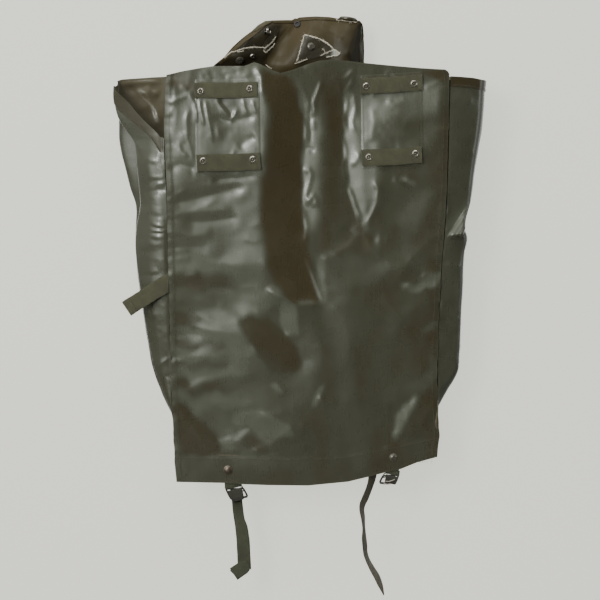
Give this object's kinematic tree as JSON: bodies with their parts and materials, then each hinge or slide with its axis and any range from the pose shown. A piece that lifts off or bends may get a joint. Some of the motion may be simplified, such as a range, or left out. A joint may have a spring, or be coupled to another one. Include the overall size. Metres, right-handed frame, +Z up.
{
  "type": "dry bag",
  "caption": "Empty waterproof coated-fabric dry bag with folded side gussets, an open mouth, a top closure flap, riveted harness loops, base buckles and loose straps.",
  "frame": {"origin": "centre of the flat back face", "axes": "+Z up as the bag hangs, +Y out of the back face, so the harness side faces -Y; +X to the right of someone who faces the harness side"},
  "size_m": [0.6772, 0.1137, 1.0386],
  "materials": {
    "coated_fabric": "glossy waterproof coating over woven cloth",
    "inner_fabric": "glossy brown inside face",
    "loop_webbing": "matt woven webbing",
    "strap_webbing": "matt woven webbing",
    "nickel": "worn nickel plate",
    "copper": "dark worn copper colour",
    "black_steel": "blackened steel",
    "painted_snap": "dark painted press stud"
  },
  "bodies": {
    "bag": {"front_panel": "coated_fabric", "back_panel": "coated_fabric", "left_gusset": "coated_fabric", "right_gusset": "coated_fabric", "base_panel": "coated_fabric", "base_hem_strip": "coated_fabric", "left_harness_patch": "coated_fabric", "left_upper_loop": "loop_webbing", "left_upper_inner_rivet": "nickel", "left_upper_inner_washer": "nickel", "left_upper_outer_rivet": "nickel", "left_upper_outer_washer": "nickel", "left_lower_loop": "loop_webbing", "left_lower_inner_rivet": "nickel", "left_lower_inner_washer": "nickel", "left_lower_outer_rivet": "nickel", "left_lower_outer_washer": "nickel", "left_base_stud": "copper", "left_buckle_tab": "strap_webbing", "right_harness_patch": "coated_fabric", "right_upper_loop": "loop_webbing", "right_upper_inner_rivet": "nickel", "right_upper_inner_washer": "nickel", "right_upper_outer_rivet": "nickel", "right_upper_outer_washer": "nickel", "right_lower_loop": "loop_webbing", "right_lower_inner_rivet": "nickel", "right_lower_inner_washer": "nickel", "right_lower_outer_rivet": "nickel", "right_lower_outer_washer": "nickel", "right_base_stud": "copper", "right_buckle_tab": "strap_webbing"},
    "closure_flap": {"closure_flap": "inner_fabric", "right_flap_patch": "inner_fabric", "left_flap_patch": "inner_fabric", "right_flap_snap": "painted_snap", "left_flap_snap": "painted_snap", "left_flap_stud": "nickel", "upper_flap_stud": "nickel", "hanging_eyelet": "black_steel"},
    "left_buckle": {"left_buckle": "black_steel"},
    "right_buckle": {"right_buckle": "black_steel"},
    "left_strap": {"left_base_strap": "strap_webbing"},
    "right_strap": {"right_base_strap": "strap_webbing"},
    "side_strap": {"left_side_strap": "loop_webbing"}
  },
  "joints": [
    {"name": "flap_fold", "type": "hinge", "parent": "bag", "child": "closure_flap", "pos_m": [0, -0.004, 0.382], "axis": [1, 0, 0], "range_deg": [-20, 90]},
    {"name": "left_buckle_swing", "type": "hinge", "parent": "bag", "child": "left_buckle", "pos_m": [-0.12878, -0.0435, -0.3823], "axis": [0.9703, -0.0193, 0.2412], "range_deg": [-75, 60]},
    {"name": "right_buckle_swing", "type": "hinge", "parent": "bag", "child": "right_buckle", "pos_m": [0.14804, -0.0456, -0.356], "axis": [0.9703, 0.0193, -0.2412], "range_deg": [-25, 60]},
    {"name": "left_strap_slip", "type": "slide", "parent": "left_buckle", "child": "left_strap", "axis": [0.0872, 0.0794, -0.993], "range_m": [0, 0.012]},
    {"name": "right_strap_swing", "type": "hinge", "parent": "bag", "child": "right_strap", "pos_m": [0.1175, -0.038, -0.359], "axis": [0, 1, 0], "range_deg": [-12, 35]},
    {"name": "side_strap_swing", "type": "hinge", "parent": "bag", "child": "side_strap", "pos_m": [-0.245, -0.07756, -0.00482], "axis": [0, 0.9968, 0.0797], "range_deg": [-30, 45]}
  ]
}
